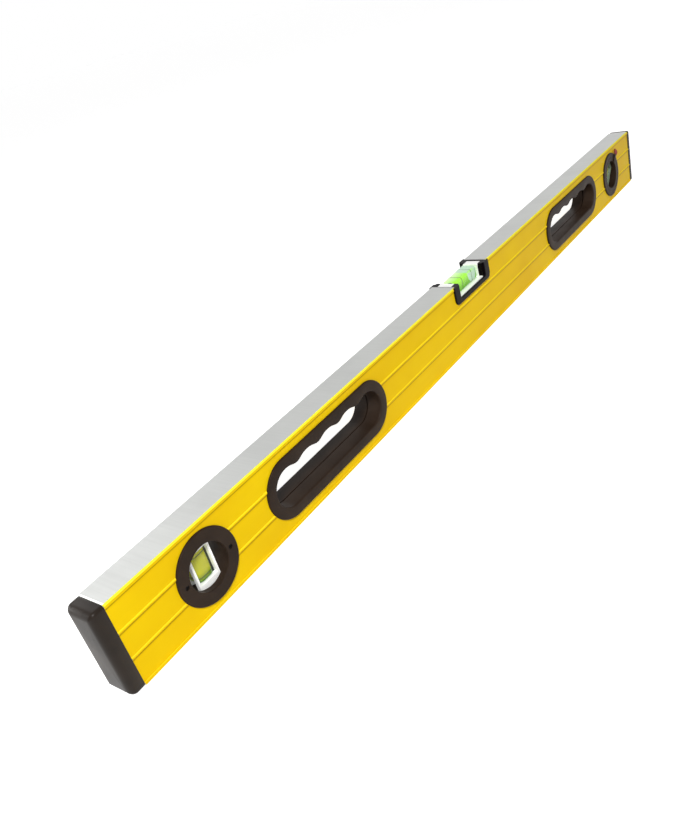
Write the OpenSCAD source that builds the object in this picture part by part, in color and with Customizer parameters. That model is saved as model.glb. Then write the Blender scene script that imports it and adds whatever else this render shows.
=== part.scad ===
// Box-section spirit level: an extruded beam with moulded end caps, two hand
// holes, a centre vial in a top notch, a plumb vial and an adjustable angle vial.
//
// X runs along the beam, Y across it with the front at -Y, and Z up.
// The origin is the middle of the milled sole. Each vial is modelled along its
// own X axis with its bubble at the middle, and is turned into place.

/* [Beam] */
// Overall length over both end caps
overall_l = 800; // [620:10:1200]
// Height between the two milled faces
beam_h = 57; // [55:0.5:80]
// Width over the raised beads
beam_w = 22; // [21:0.5:30]
// Thickness of the side walls
side_wall = 1.6; // [1.2:0.1:2.5]
// Thickness of the walls behind the milled faces
sole_wall = 2.6; // [1.8:0.1:3.5]
// Thickness of the two webs inside
web_t = 1.4; // [1:0.1:2]
// Depth of the shallow panels between the beads
panel_d = 0.7; // [0.3:0.05:0.8]
// Distance between the two lengthwise beads of a side
bead_gap = 17.8; // [14:0.2:26]
// Width of each lengthwise bead
bead_w = 2; // [1.2:0.1:2.4]
// Height of the plain strip beside each milled face
edge_w = 2.6; // [1.6:0.1:3]
// Chamfer along the milled corners
edge_c = 1; // [0.2:0.1:1.2]

/* [End caps] */
// How far each cap reaches past the beam
cap_t = 9.4; // [7:0.1:14]
// Rounding of the cap's outer edges
cap_round = 4.2; // [1.5:0.1:4.5]
// How far the cap stays inside the milled faces
cap_inset = 0.25; // [0.15:0.05:0.5]
// Length of the fingers that plug into the beam
cap_plug_l = 16; // [10:1:24]
// Wall of each hollow finger
cap_plug_wall = 1.8; // [1.2:0.1:2.5]

/* [Hand holes] */
// Distance from the beam's left end to the middle of the left hand hole
grip_inset_left = 181; // [170:0.1:220]
// Distance from the beam's right end to the middle of the right hand hole
grip_inset_right = 175.7; // [170:0.1:220]
// Length of the rim of a hand hole
grip_l = 131; // [115:1:160]
// Height of the rim of a hand hole
grip_h = 41; // [38:0.5:50]
// Width of the rim at its two ends
grip_ends = 8; // [6:0.2:12]
// Width of the rim above and below the opening
grip_rim = 7.6; // [5:0.1:9]
// How far the rim laps over the beam's side wall
grip_lap = 3; // [2:0.1:3.6]
// Spacing of the finger grooves
finger_pitch = 22.4; // [18:0.2:27.2]
// Depth of the finger grooves
finger_d = 2.2; // [1:0.1:3]

/* [Round vials] */
// Distance from the beam's end to the middle of a round vial
vial_inset = 61.5; // [50:0.5:75]
// Diameter of the chamber
small_bore = 9; // [7:0.2:11]
// Side wall of the block
small_wall_w = 2; // [1.2:0.1:3]
// Front and rear wall of the block
small_wall_d = 1.8; // [1.2:0.1:2.6]
// Length of the block
small_block_l = 20; // [19:0.5:25]
// Length of the plug in the block's end
small_plug_l = 2; // [1.5:0.1:3]
// Length of the bubble
small_bubble_l = 9; // [5:0.5:9.5]
// Gap around the bubble that lets the spirit past
small_bubble_gap = 1.4; // [1:0.1:2]
// How much further apart than the bubble's length the gauge rings are
small_gauge_play = 4.4; // [1:0.2:5]

/* [Round carriers] */
// How far the carrier's front stands out past the block
carrier_out = 0.7; // [0.3:0.1:1.5]
// Wall of the carrier at the block's corners
carrier_wall = 2.9; // [0.6:0.1:3.2]
// Thickness of the bars beside the block
carrier_bar = 1.3; // [0.9:0.1:2]
// Width of the carrier's curved feet seen through the window
carrier_foot = 1.6; // [0.6:0.1:2]
// Distance of the feet's tips from the middle
carrier_tip = 8; // [3:0.1:9.5]

/* [Round bezels] */
// Width of the lip in front of the carrier
carrier_lip = 0.9; // [0.6:0.1:1.4]
// Wall between the carrier and the bearing of the drum
drum_wall = 3; // [2:0.1:4]
// Width of the flange that keeps the drum in
drum_flange = 1.7; // [1:0.1:2]
// Wall between the drum's bearing and the beam
bezel_wall = 2.65; // [2.2:0.05:3]
// How far a bezel laps over the beam's side wall
bezel_lap = 1.8; // [1.5:0.1:3]
// How far a rim or bezel stands above the panels
rim_t = 1.4; // [1:0.1:2]

/* [Plumb bezel screws] */
// Distance of a screw from the edge of the window
screw_in = 3.3; // [2.8:0.1:3.6]
// Diameter of the screw shank
screw_d = 1.8; // [1.4:0.1:2.2]
// Diameter of the screw head
screw_head_d = 2.8; // [2.4:0.1:3.4]
// Thickness of the screw head
screw_head_t = 1; // [0.8:0.1:1.4]
// Depth of the screw head below the bezel's face
screw_sink = 0.4; // [0.2:0.1:1]
// Length of the screw under its head
screw_l = 15; // [12:0.5:18]

/* [Angle vial] */
// Distance of the pointer's tip from the milled faces when it points at them
pointer_in = 0.6; // [0.5:0.1:2.5]
// Width of the pointer
pointer_w = 9; // [5:0.5:9.5]
// Width of the drum's arm that carries the pointer over the bezel
arm_w = 3.6; // [2.4:0.2:4.6]
// Thickness of the pointer and the arm
pointer_t = 0.8; // [0.6:0.1:1.2]
// Angle of the vial above the horizontal as it is set
angle_set = 50; // [0:5:180]

/* [Centre vial] */
// Diameter of the chamber
bore_d = 8.8; // [7:0.2:10.6]
// Wall of the block above and below the chamber
block_wall = 0.9; // [0.7:0.1:1.5]
// Front and rear wall of the block
block_side = 2.1; // [1.2:0.1:2.3]
// Length of the block
block_l = 38; // [32:0.5:46]
// Length of the plug in the block's end
plug_l = 2.5; // [1.5:0.1:4]
// Length of the bubble
bubble_l = 13; // [8:0.5:14]
// How much further apart than the bubble's length the gauge rings are
gauge_play = 2.4; // [0.4:0.2:3]
// How far the block's top stays below the milled face
block_drop = 0.45; // [0.3:0.05:1.5]

/* [Centre frame] */
// Width of the notch in the beam
notch_w = 55.4; // [54:0.1:70]
// Thickness of the carrier's floor
carrier_floor_t = 0.9; // [0.7:0.1:1.5]
// Wall of the carrier at the block's ends
carrier_end = 0.85; // [0.6:0.05:1.5]
// Thickness of the carrier's flanges
flange_t = 1.6; // [1:0.1:2.4]
// Least thickness of the frame's lining
frame_lining = 1.2; // [0.9:0.1:2]
// Thickness of the frame's face behind the panel
frame_face = 0.3; // [0.2:0.1:1.2]
// How far the frame's face laps over the beam
frame_lap = 2.3; // [1.4:0.1:3]
// Radius of the frame's lower corners
frame_r = 5; // [4:0.1:6]
// Width of the frame's legs beside the window
frame_leg = 8; // [5:0.5:10]
// Height of the frame's bar below the window
frame_bar = 4; // [3.4:0.1:7]
// How far the frame's top edges stay below the milled face
frame_drop = 0.3; // [0.2:0.1:0.8]

/* [Fits] */
// Clearance between pieces that are fixed together
fit = 0.15; // [0.05:0.05:0.25]
// Radial running clearance of the drum
run = 0.06; // [0.02:0.01:0.1]
// Clearance around a bubble and under the pointer
free = 0.35; // [0.3:0.05:0.5]

/* [Hidden] */
$fn = 96;

// Overshoot that keeps cutters clear of the faces they cut
eps = 1;

beam_l = overall_l - 2 * cap_t;
mid_z = beam_h / 2;
bead_z = [mid_z - bead_gap / 2, mid_z + bead_gap / 2];

// Distances from the beam's middle plane, towards the front
bead_y = beam_w / 2;
panel_y = bead_y - panel_d;
inner_y = panel_y - side_wall;
rim_y = panel_y + rim_t;

// Open heights between the soles and the webs
cell_edges = [
    [sole_wall, bead_z[0] - web_t / 2],
    [bead_z[0] + web_t / 2, bead_z[1] - web_t / 2],
    [bead_z[1] + web_t / 2, beam_h - sole_wall]
];

// Hand holes
grip_left_x = grip_inset_left - beam_l / 2;
grip_right_x = beam_l / 2 - grip_inset_right;
grip_hole_l = grip_l - 2 * grip_lap;
grip_hole_h = grip_h - 2 * grip_lap;
grip_open_l = grip_l - 2 * grip_ends;
grip_open_h = grip_h - 2 * grip_rim;
// Distance between the points that draw the finger grooves
finger_step = finger_pitch / 20;
// Power of the grooves' wave: a higher one gives narrower cusps
cusp_power = 1.5;

// Spirit left between the bubble's channel and each end of a chamber
spirit_end = 1;

// Round vials: the plumb vial is on the left and the angle vial on the right
vial_x = beam_l / 2 - vial_inset;
small_block_w = small_bore + 2 * small_wall_w;
small_block_d = small_bore + 2 * small_wall_d;
small_chamber = small_block_l - 2 * small_plug_l;
small_bubble_r = small_bore / 2 - small_bubble_gap;
small_channel_l = small_chamber - 2 * spirit_end;
// Rest place of the bubble, at the upper end; its travel is twice this
small_bubble_x = (small_channel_l - small_bubble_l) / 2 - free;

// Bezels and carriers, outwards from the block's corners
pocket_l = small_block_l + 2 * fit;
pocket_w = small_block_w + 2 * fit;
carrier_w = pocket_w + 2 * carrier_bar;
carrier_y = small_block_d / 2 + carrier_out;
carrier_r = norm([pocket_l, pocket_w]) / 2 + carrier_wall;
window_r = carrier_r + fit - carrier_lip;
drum_r = carrier_r + fit + drum_wall;
drum_flange_r = drum_r + drum_flange;
drum_flange_y = carrier_y - fit;
bezel_r = drum_r + bezel_wall;
ring_bore_r = bezel_r + fit;
ring_r = ring_bore_r + bezel_lap;
screw_x = window_r + screw_in;
screw_head_y = rim_y - screw_sink - screw_head_t;
pointer_y = rim_y + free;
pointer_r = mid_z - pointer_in;
// Where the arm ends and the pointer starts, just past the bezel
arm_r = ring_r + 0.3;
// Distance of the arm's foot from the drum's edge and from the window
arm_foot_in = 0.6;

// Centre vial and its frame, downwards from the milled face
block_w = bore_d + 2 * block_side;
block_h = bore_d + 2 * block_wall;
chamber_l = block_l - 2 * plug_l;
channel_l = chamber_l - 2 * spirit_end;
bubble_r = bore_d / 2 - free;
// Rest place of the bubble, at the end towards the angle vial; its travel is twice this
bubble_x = (channel_l - bubble_l) / 2 - free;
// Height of the channel's floor above the middle of the chamber
bubble_floor = 1.2;
vial_z = beam_h - block_drop - block_h / 2;
carrier_floor = vial_z - block_h / 2 - fit - carrier_floor_t;
carrier_top = beam_h - frame_drop - 0.5;
carrier_half = block_l / 2 + fit + carrier_end;
lining_z = carrier_floor - fit - frame_lining;
notch_d = beam_h - lining_z + fit;
lining_w = notch_w - 2 * fit;
flange_half = lining_w / 2 - frame_lining - fit;
flange_z = carrier_top - flange_t;
frame_w = notch_w + 2 * frame_lap;
frame_d = notch_d + frame_lap;
frame_top = beam_h - frame_drop;
frame_face_y = panel_y - frame_face;
frame_window_w = frame_w - 2 * frame_leg;
frame_window_d = frame_d - frame_bar;
// Radius of the inner corners of the window
inner_r = 1.5;

// Width of a gauge ring, and how far it is let into the block
gauge_w = 0.6;
gauge_d = 0.3;

// ---- Shapes that repeat ----

// Extrudes an outline drawn in X and Z from depth y0 to y1, towards the front
module slab(y0, y1) {
    rotate([90, 0, 0]) translate([0, 0, y0]) linear_extrude(y1 - y0) children();
}

// Round slab between the same depths
module disc(r, y0, y1) {
    rotate([90, 0, 0]) translate([0, 0, y0]) cylinder(h = y1 - y0, r = r);
}

// Extrudes a Y-Z outline along X, centred
module along_x(l) {
    rotate([90, 0, 90]) linear_extrude(l, center = true) children();
}

module slot_outline(l, h) {
    square([l - h, h], center = true);
    for (side = [-1, 1]) translate([side * (l - h) / 2, 0]) circle(d = h);
}

// Rectangle with its top at z = 0 and rounded lower corners
module notch_outline(w, d, r) {
    translate([-w / 2, r - d]) square([w, d - r]);
    translate([r - w / 2, -d]) square([w - 2 * r, r + 0.01]);
    for (side = [-1, 1]) translate([side * (w / 2 - r), r - d]) circle(r = r);
}

module rounded_outline(w, h, r) {
    square([w - 2 * r, h], center = true);
    square([w, h - 2 * r], center = true);
    for (x = [-1, 1], z = [-1, 1]) translate([x * (w / 2 - r), z * (h / 2 - r)]) circle(r = r);
}

module at_plumb() { translate([-vial_x, 0, mid_z]) children(); }
module at_angle() { translate([vial_x, 0, mid_z]) children(); }
module at_centre() { translate([0, 0, vial_z]) children(); }
module upright() { rotate([0, -90, 0]) children(); }
module tilted() { rotate([0, -angle_set, 0]) children(); }
module rear() { mirror([0, 1, 0]) children(); }

// ---- Beam ----

module beam_outline() {
    intersection() {
        union() {
            translate([-panel_y, 0]) square([2 * panel_y, beam_h]);
            for (z = [0, beam_h - edge_w]) translate([-bead_y, z]) square([beam_w, edge_w]);
            for (z = bead_z, side = [-1, 1])
                translate([side * (bead_y - bead_w / 2), z]) circle(d = bead_w, $fn = 32);
        }
        polygon([
            [edge_c - bead_y, 0], [bead_y - edge_c, 0], [bead_y, edge_c], [bead_y, beam_h - edge_c],
            [bead_y - edge_c, beam_h], [edge_c - bead_y, beam_h], [-bead_y, beam_h - edge_c],
            [-bead_y, edge_c]
        ]);
    }
}

module beam_section() {
    difference() {
        beam_outline();
        for (cell = cell_edges)
            translate([-inner_y, cell[0]]) square([2 * inner_y, cell[1] - cell[0]]);
    }
}

// Clears the beads and strips under a rim, down to the panels, on both sides
module seat() {
    for (side = [0, 1]) mirror([0, side, 0]) slab(panel_y, bead_y + eps) children();
}

module beam() {
    color("gold") difference() {
        along_x(beam_l) beam_section();
        for (x = [grip_left_x, grip_right_x]) translate([x, 0, mid_z]) {
            slab(-beam_w, beam_w) slot_outline(grip_hole_l, grip_hole_h);
            seat() slot_outline(grip_l + 2 * fit, grip_h + 2 * fit);
        }
        for (x = [-vial_x, vial_x]) translate([x, 0, mid_z]) {
            disc(ring_bore_r, -beam_w, beam_w);
            seat() circle(r = ring_r + fit);
        }
        translate([0, 0, beam_h]) {
            slab(-beam_w, beam_w) notch_outline(notch_w, notch_d, frame_r - frame_lap);
            slab(-beam_w, beam_w) translate([-notch_w / 2, -eps]) square([notch_w, 2 * eps]);
            seat() notch_outline(frame_w + 2 * fit, frame_d + fit, frame_r + fit);
            seat() translate([-frame_w / 2 - fit, -eps]) square([frame_w + 2 * fit, 2 * eps]);
        }
    }
}

// ---- End caps ----

module cap_block() {
    w = beam_w - 2 * cap_inset;
    h = beam_h - 2 * cap_inset;
    long = 2 * cap_t;
    intersection() {
        translate([0, 0, mid_z]) slab(-w / 2, w / 2) rounded_outline(long, h, cap_round);
        translate([0, 0, cap_inset]) linear_extrude(h) rounded_outline(long, w, cap_round);
        translate([0, 0, mid_z]) along_x(long) rounded_outline(w, h, cap_round / 2);
        translate([0, -w / 2, cap_inset]) cube([cap_t, w, h]);
    }
}

module end_cap() {
    color("dimgray") translate([beam_l / 2, 0, 0]) {
        cap_block();
        for (cell = cell_edges) {
            h = cell[1] - cell[0] - 2 * fit;
            w = 2 * (inner_y - fit);
            translate([-cap_plug_l, -w / 2, cell[0] + fit]) difference() {
                cube([cap_plug_l + 0.5, w, h]);
                translate([-eps, cap_plug_wall, cap_plug_wall])
                    cube([cap_plug_l + eps, w - 2 * cap_plug_wall, h - 2 * cap_plug_wall]);
            }
        }
    }
}

module end_cap_right() { end_cap(); }
module end_cap_left() { mirror([1, 0, 0]) end_cap(); }

// ---- Hand holes ----

// Height of the opening's upper edge above its lower edge, at x from its middle
function finger_wave(x) = (1 - cos(360 * x / finger_pitch)) / 2;
function finger_top(x) = abs(x) > 2 * finger_pitch
    ? grip_open_h
    : grip_open_h - finger_d * pow(finger_wave(x), cusp_power);

module grip_opening() {
    half = floor(grip_open_l / 2 / finger_step) * finger_step + finger_step;
    intersection() {
        slot_outline(grip_open_l, grip_open_h);
        translate([0, -grip_open_h / 2]) polygon(concat(
            [[half, -eps], [-half, -eps]],
            [for (x = [-half : finger_step : half + 0.01]) [x, finger_top(x)]]
        ));
    }
}

module grip_half() {
    color("dimgray") translate([0, 0, mid_z]) difference() {
        union() {
            slab(panel_y, rim_y) slot_outline(grip_l, grip_h);
            slab(fit / 2, panel_y + 0.01) slot_outline(grip_hole_l - 2 * fit, grip_hole_h - 2 * fit);
        }
        slab(-eps, rim_y + eps) grip_opening();
    }
}

module grip_left_front() { translate([grip_left_x, 0, 0]) grip_half(); }
module grip_left_rear() { rear() grip_left_front(); }
module grip_right_front() { translate([grip_right_x, 0, 0]) grip_half(); }
module grip_right_rear() { rear() grip_right_front(); }

// ---- Parts of a vial, along X, with the bubble's highest place at +Z ----

module vial_block(l, w, h, d, chamber) {
    color("azure", 0.4) difference() {
        cube([l, w, h], center = true);
        rotate([0, 90, 0]) translate([0, 0, -l / 2 - eps])
            cylinder(h = l / 2 + eps + chamber / 2, d = d);
    }
}

module gauge_grooves(d, gap) {
    for (side = [-1, 1]) translate([side * (gap + gauge_w) / 2, 0, 0]) rotate([0, 90, 0])
        cylinder(h = gauge_w + fit, r = d / 2 + gauge_d + fit / 2, center = true);
}

module vial_rings(d, gap) {
    color("black") for (side = [-1, 1])
        translate([side * (gap + gauge_w) / 2, 0, 0]) rotate([0, 90, 0]) difference() {
            cylinder(h = gauge_w, r = d / 2 + gauge_d, center = true);
            cylinder(h = 2 * gauge_w, r = d / 2, center = true);
        }
}

module vial_plug(l, d, chamber) {
    color("white") translate([-l / 2, 0, 0]) rotate([0, 90, 0])
        cylinder(h = (l - chamber) / 2, r = d / 2 - fit / 3);
}

// ---- Centre vial ----

// Outline of a square pocket, w wide and d deep below z = 0, that is open at its top
module open_pocket(w, d) {
    translate([-w / 2, -d]) square([w, d + eps]);
}

module centre_frame_half() {
    color("dimgray") translate([0, 0, frame_top]) difference() {
        union() {
            slab(panel_y, rim_y) notch_outline(frame_w, frame_d - frame_drop, frame_r);
            slab(fit / 2, panel_y + 0.01)
                notch_outline(lining_w, frame_top - lining_z, frame_r - frame_lap - fit);
        }
        slab(frame_face_y, rim_y + eps) {
            notch_outline(frame_window_w, frame_window_d - frame_drop, inner_r);
            open_pocket(frame_window_w, eps);
        }
        slab(-eps, frame_face_y + 0.01)
            open_pocket(2 * (carrier_half + fit), frame_top - carrier_floor + fit);
        slab(-eps, block_w / 2 + fit)
            open_pocket(2 * (flange_half + fit), frame_top - flange_z + fit);
    }
}

module centre_frame_front() { centre_frame_half(); }
module centre_frame_rear() { rear() centre_frame_half(); }

// White carrier: a floor as deep as the frame, a wall at each end of the block, and a
// flange at the top of each wall that rests on the frame
module centre_carrier() {
    floor_y = frame_face_y - fit;
    color("white") difference() {
        union() {
            translate([-carrier_half, -floor_y, carrier_floor])
                cube([2 * carrier_half, 2 * floor_y, carrier_floor_t]);
            translate([-carrier_half, -block_w / 2, carrier_floor])
                cube([2 * carrier_half, block_w, carrier_top - carrier_floor]);
            translate([-flange_half, -block_w / 2, flange_z])
                cube([2 * flange_half, block_w, flange_t]);
        }
        translate([0, 0, vial_z + eps])
            cube([block_l + 2 * fit, 3 * floor_y, block_h + 2 * fit + 2 * eps], center = true);
    }
}

module centre_block() {
    at_centre() difference() {
        vial_block(block_l, block_w, block_h, bore_d, chamber_l);
        gauge_grooves(bore_d, bubble_l + gauge_play);
    }
}

module centre_plug() { at_centre() vial_plug(block_l, bore_d, chamber_l); }
module centre_rings() { at_centre() vial_rings(bore_d, bubble_l + gauge_play); }

module centre_spirit() {
    r = bore_d / 2 - fit / 3;
    color("greenyellow") at_centre() difference() {
        rotate([0, 90, 0]) cylinder(h = chamber_l - fit, r = r, center = true);
        translate([0, 0, bubble_floor + r]) cube([channel_l, 2 * r, 2 * r], center = true);
    }
}

module centre_bubble() {
    color("honeydew", 0.6) at_centre() translate([bubble_x, 0, 0]) intersection() {
        rotate([0, 90, 0]) cylinder(h = bubble_l, r = bubble_r, center = true);
        translate([0, 0, bubble_floor + free + bore_d / 2])
            cube([bubble_l, bore_d, bore_d], center = true);
    }
}

// ---- Round vials ----

// White carrier: a bar on each side of the block, and a curved foot at each end between them
module round_carrier() {
    color("white") slab(-carrier_y, carrier_y) difference() {
        intersection() {
            circle(r = carrier_r);
            union() {
                square([pocket_l, carrier_w], center = true);
                difference() {
                    for (side = [-1, 1])
                        translate([side * (carrier_tip + carrier_r / 2), 0])
                            square([carrier_r, carrier_w], center = true);
                    intersection() {
                        circle(r = window_r - carrier_foot);
                        square([pocket_l, 2 * carrier_r], center = true);
                    }
                }
            }
        }
        square([pocket_l, pocket_w], center = true);
    }
}

module round_block() {
    difference() {
        vial_block(small_block_l, small_block_d, small_block_w, small_bore, small_chamber);
        gauge_grooves(small_bore, small_bubble_l + small_gauge_play);
    }
}

module round_plug() { vial_plug(small_block_l, small_bore, small_chamber); }

module round_rings() { vial_rings(small_bore, small_bubble_l + small_gauge_play); }

// The hollow is the way that the bubble takes
module round_spirit() {
    color("yellowgreen") rotate([0, 90, 0]) difference() {
        cylinder(h = small_chamber - fit, r = small_bore / 2 - fit / 3, center = true);
        cylinder(h = small_channel_l, r = small_bubble_r + free, center = true);
    }
}

module round_bubble() {
    color("honeydew", 0.6) translate([small_bubble_x, 0, 0]) rotate([0, 90, 0])
        cylinder(h = small_bubble_l, r = small_bubble_r, center = true);
}

// Window and the pocket behind its lip for the carrier
module carrier_bore() {
    disc(window_r, -eps, rim_y + eps);
    disc(carrier_r + fit, -eps, carrier_y + fit);
}

// ---- Plumb vial ----

module at_screws() {
    for (side = [-1, 1]) translate([side * screw_x, 0, 0]) children();
}

module bezel_half() {
    difference() {
        union() {
            disc(ring_r, panel_y, rim_y);
            disc(bezel_r, fit / 2, panel_y + 0.01);
        }
        carrier_bore();
    }
}

module plumb_bezel_front() {
    color("dimgray") at_plumb() difference() {
        bezel_half();
        at_screws() {
            disc(screw_d / 2 + fit, -eps, rim_y + eps);
            disc(screw_head_d / 2 + fit, screw_head_y, rim_y + eps);
        }
    }
}

module plumb_bezel_rear() {
    color("dimgray") at_plumb() rear() difference() {
        bezel_half();
        at_screws() disc(screw_d / 2 + fit / 3, -eps, screw_l - screw_head_y + eps);
    }
}

module plumb_screws() {
    color("darkslategray") at_plumb() at_screws() {
        disc(screw_d / 2, screw_head_y - screw_l, screw_head_y);
        difference() {
            disc(screw_head_d / 2, screw_head_y, screw_head_y + screw_head_t);
            for (turn = [0, 90]) rotate([0, turn, 0])
                slab(screw_head_y + screw_head_t / 2, rim_y) square([2, 0.5], center = true);
        }
    }
}

module plumb_carrier() { at_plumb() upright() round_carrier(); }
module plumb_block() { at_plumb() upright() round_block(); }
module plumb_plug() { at_plumb() upright() round_plug(); }
module plumb_rings() { at_plumb() upright() round_rings(); }
module plumb_spirit() { at_plumb() upright() round_spirit(); }
module plumb_bubble() { at_plumb() upright() round_bubble(); }

// ---- Angle vial ----

module angle_bezel_half() {
    color("dimgray") at_angle() difference() {
        union() {
            disc(ring_r, panel_y, rim_y);
            disc(bezel_r, drum_flange_y + free, panel_y + 0.01);
        }
        disc(drum_r + run, -eps, rim_y + eps);
    }
}

module angle_drum_half() {
    foot = [window_r + arm_foot_in, drum_r - arm_foot_in];
    color("dimgray") at_angle() {
        difference() {
            union() {
                disc(drum_r, fit / 2, rim_y);
                disc(drum_flange_r, fit / 2, drum_flange_y);
            }
            carrier_bore();
        }
        tilted() {
            slab(pointer_y, pointer_y + pointer_t)
                translate([foot[0], -arm_w / 2]) square([arm_r - foot[0], arm_w]);
            slab(rim_y - 0.01, pointer_y + 0.01)
                translate([foot[0], -arm_w / 2]) square([foot[1] - foot[0], arm_w]);
        }
    }
}

// Flat pointer past the bezel's edge, carried by the drum's arm
module angle_pointer() {
    root_w = 0.7 * pointer_w;
    shoulder = pointer_r - 1;
    color("firebrick") at_angle() tilted() slab(pointer_y, pointer_y + pointer_t) polygon([
        [arm_r, -root_w / 2], [shoulder, -pointer_w / 2], [pointer_r, -root_w / 2],
        [pointer_r, root_w / 2], [shoulder, pointer_w / 2], [arm_r, root_w / 2]
    ]);
}

module angle_bezel_front() { angle_bezel_half(); }
module angle_bezel_rear() { rear() angle_bezel_half(); }
module angle_drum_front() { angle_drum_half(); }
module angle_drum_rear() { rear() angle_drum_half(); }
module angle_pointer_front() { angle_pointer(); }
module angle_pointer_rear() { rear() angle_pointer(); }
module angle_carrier() { at_angle() tilted() round_carrier(); }
module angle_block() { at_angle() tilted() round_block(); }
module angle_plug() { at_angle() tilted() round_plug(); }
module angle_rings() { at_angle() tilted() round_rings(); }
module angle_spirit() { at_angle() tilted() round_spirit(); }
module angle_bubble() { at_angle() tilted() round_bubble(); }

beam();
end_cap_left();
end_cap_right();
grip_left_front();
grip_left_rear();
grip_right_front();
grip_right_rear();
centre_frame_front();
centre_frame_rear();
centre_carrier();
centre_block();
centre_plug();
centre_rings();
centre_spirit();
centre_bubble();
plumb_bezel_front();
plumb_bezel_rear();
plumb_screws();
plumb_carrier();
plumb_block();
plumb_plug();
plumb_rings();
plumb_spirit();
plumb_bubble();
angle_bezel_front();
angle_bezel_rear();
angle_drum_front();
angle_drum_rear();
angle_pointer_front();
angle_pointer_rear();
angle_carrier();
angle_block();
angle_plug();
angle_rings();
angle_spirit();
angle_bubble();
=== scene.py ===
"""Looks of an 800 mm box-section spirit level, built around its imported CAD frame.

X runs along the beam, Y across it with the front at -Y, and Z up from the milled sole.
Shapes are drawn in millimetres and turned into metres when a piece is made.
"""

import math

import bmesh
import bpy
from mathutils import Matrix, Vector


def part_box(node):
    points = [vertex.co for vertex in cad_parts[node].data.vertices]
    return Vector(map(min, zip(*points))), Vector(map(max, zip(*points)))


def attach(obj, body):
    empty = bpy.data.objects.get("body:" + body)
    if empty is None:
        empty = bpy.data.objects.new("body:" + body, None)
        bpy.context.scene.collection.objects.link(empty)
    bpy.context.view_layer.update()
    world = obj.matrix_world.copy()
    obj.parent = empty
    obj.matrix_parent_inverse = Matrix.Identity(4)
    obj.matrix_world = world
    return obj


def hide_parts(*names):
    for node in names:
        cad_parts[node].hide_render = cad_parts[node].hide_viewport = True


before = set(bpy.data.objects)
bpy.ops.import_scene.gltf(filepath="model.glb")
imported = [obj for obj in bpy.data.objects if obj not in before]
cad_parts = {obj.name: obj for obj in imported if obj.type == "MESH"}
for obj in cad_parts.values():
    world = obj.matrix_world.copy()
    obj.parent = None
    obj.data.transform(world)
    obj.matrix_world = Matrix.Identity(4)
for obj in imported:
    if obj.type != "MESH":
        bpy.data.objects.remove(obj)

MM = 0.001
FRONT, REAR = -1, 1

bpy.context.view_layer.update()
scene = bpy.context.scene


def extent(node):
    """Lowest corner, highest corner and middle of a CAD node, in millimetres."""
    low, high = (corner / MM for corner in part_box(node))
    return low, high, (low + high) / 2


def depths(node):
    """Distances of a half's face and of its back from the beam's middle plane."""
    low, high, _ = extent(node)
    return max(abs(low.y), abs(high.y)), min(abs(low.y), abs(high.y))


beam_low, beam_high, beam_mid = extent("beam")

# ---- Camera ----

CAMERA_PLACE = Vector((-517.8, -318.4, 282.7)) * MM
CAMERA_AIM = Vector((-170.1, 2.1, 28.5)) * MM
CAMERA_ROLL = math.radians(-16.33)
CAMERA_LENS = 33.95

camera = bpy.data.cameras.new("studio_camera")
camera.lens = CAMERA_LENS
camera_stand = bpy.data.objects.new("studio_camera", camera)
camera_turn = (CAMERA_AIM - CAMERA_PLACE).to_track_quat("-Z", "Y").to_matrix().to_4x4()
camera_stand.matrix_world = (
    Matrix.Translation(CAMERA_PLACE) @ camera_turn @ Matrix.Rotation(CAMERA_ROLL, 4, "Z")
)
scene.collection.objects.link(camera_stand)
scene.camera = camera_stand
scene.view_settings.view_transform = "Standard"

# ---- Finishes: helpers ----


def linear(hex_colour):
    """Linear RGBA of an sRGB colour written as #rrggbb."""
    parts = [int(hex_colour[i : i + 2], 16) / 255 for i in (1, 3, 5)]
    return [p / 12.92 if p <= 0.04045 else ((p + 0.055) / 1.055) ** 2.4 for p in parts] + [1.0]


def wire(node, inputs):
    """Sets a node's inputs. Each takes a number, a #rrggbb colour, or a node or socket."""
    for key, value in inputs.items():
        if isinstance(key, int):
            socket = node.inputs[key]
        else:
            socket = next(s for s in node.inputs if s.enabled and s.name == key)
        if isinstance(value, str):
            value = linear(value)
        if isinstance(value, bpy.types.Node):
            value = next(s for s in value.outputs if s.enabled)
        if isinstance(value, bpy.types.NodeSocket):
            node.id_data.links.new(value, socket)
        else:
            socket.default_value = value


def add(tree, kind, inputs=None, **settings):
    """Adds a shader node with its settings and links."""
    node = tree.nodes.new("ShaderNode" + kind)
    for key, value in settings.items():
        setattr(node, key, value)
    wire(node, inputs or {})
    return node


def finish(name, inputs):
    """A new material, its node tree and its Principled shader."""
    material = bpy.data.materials.new(name)
    material.use_nodes = True
    tree = material.node_tree
    shader = tree.nodes["Principled BSDF"]
    wire(shader, inputs)
    return material, tree, shader


def per(size):
    """Texture scale whose features are this many millimetres apart."""
    return 1 / (size * MM)


# ---- Finishes ----

COAT = "#f6d000"
COAT_DEEP = "#ecc000"
COAT_RUB = "#f9e04a"
# painted highlight: the paler yellow of faces turned upwards and of the chamfers
COAT_PAINTED_HIGHLIGHT = "#fff53a"
# painted shade: the darker yellow of the band just under each bead
COAT_PAINTED_SHADE = "#ae8200"
MILLED = "#c0c1bf"
MILLED_SHADE = "#b4b5b3"
# painted highlight: near-white bare metal over the last millimetre at each end of the beam
MILLED_END_HIGHLIGHT = "#fbfbf8"
DRIFT = 60
ORANGE_PEEL = 1.4
DIE_LINE = 0.5
RUB = 4
FEED_MARK = 1.2  # real marks are about 0.3 mm apart: drawn coarser so that they show
CLOUD = 30
CUT_SLOPE = 0.3
MILLED_BAND = 0.03
CHAMFER = 1.0
FILED_HIGHLIGHT_BAND = 1.1
BEAD_PITCH = 17.8
BEAD_FOOT = 7.9  # height of the upper bead's lower edge above the beam's middle
DRAWN_LENGTH = 400  # how much longer than wide a die line is
SWEEP_LENGTH = 40  # how much longer than wide a feed mark is
PEEL_DEPTH = 0.015
LINE_DEPTH = 0.003


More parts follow.
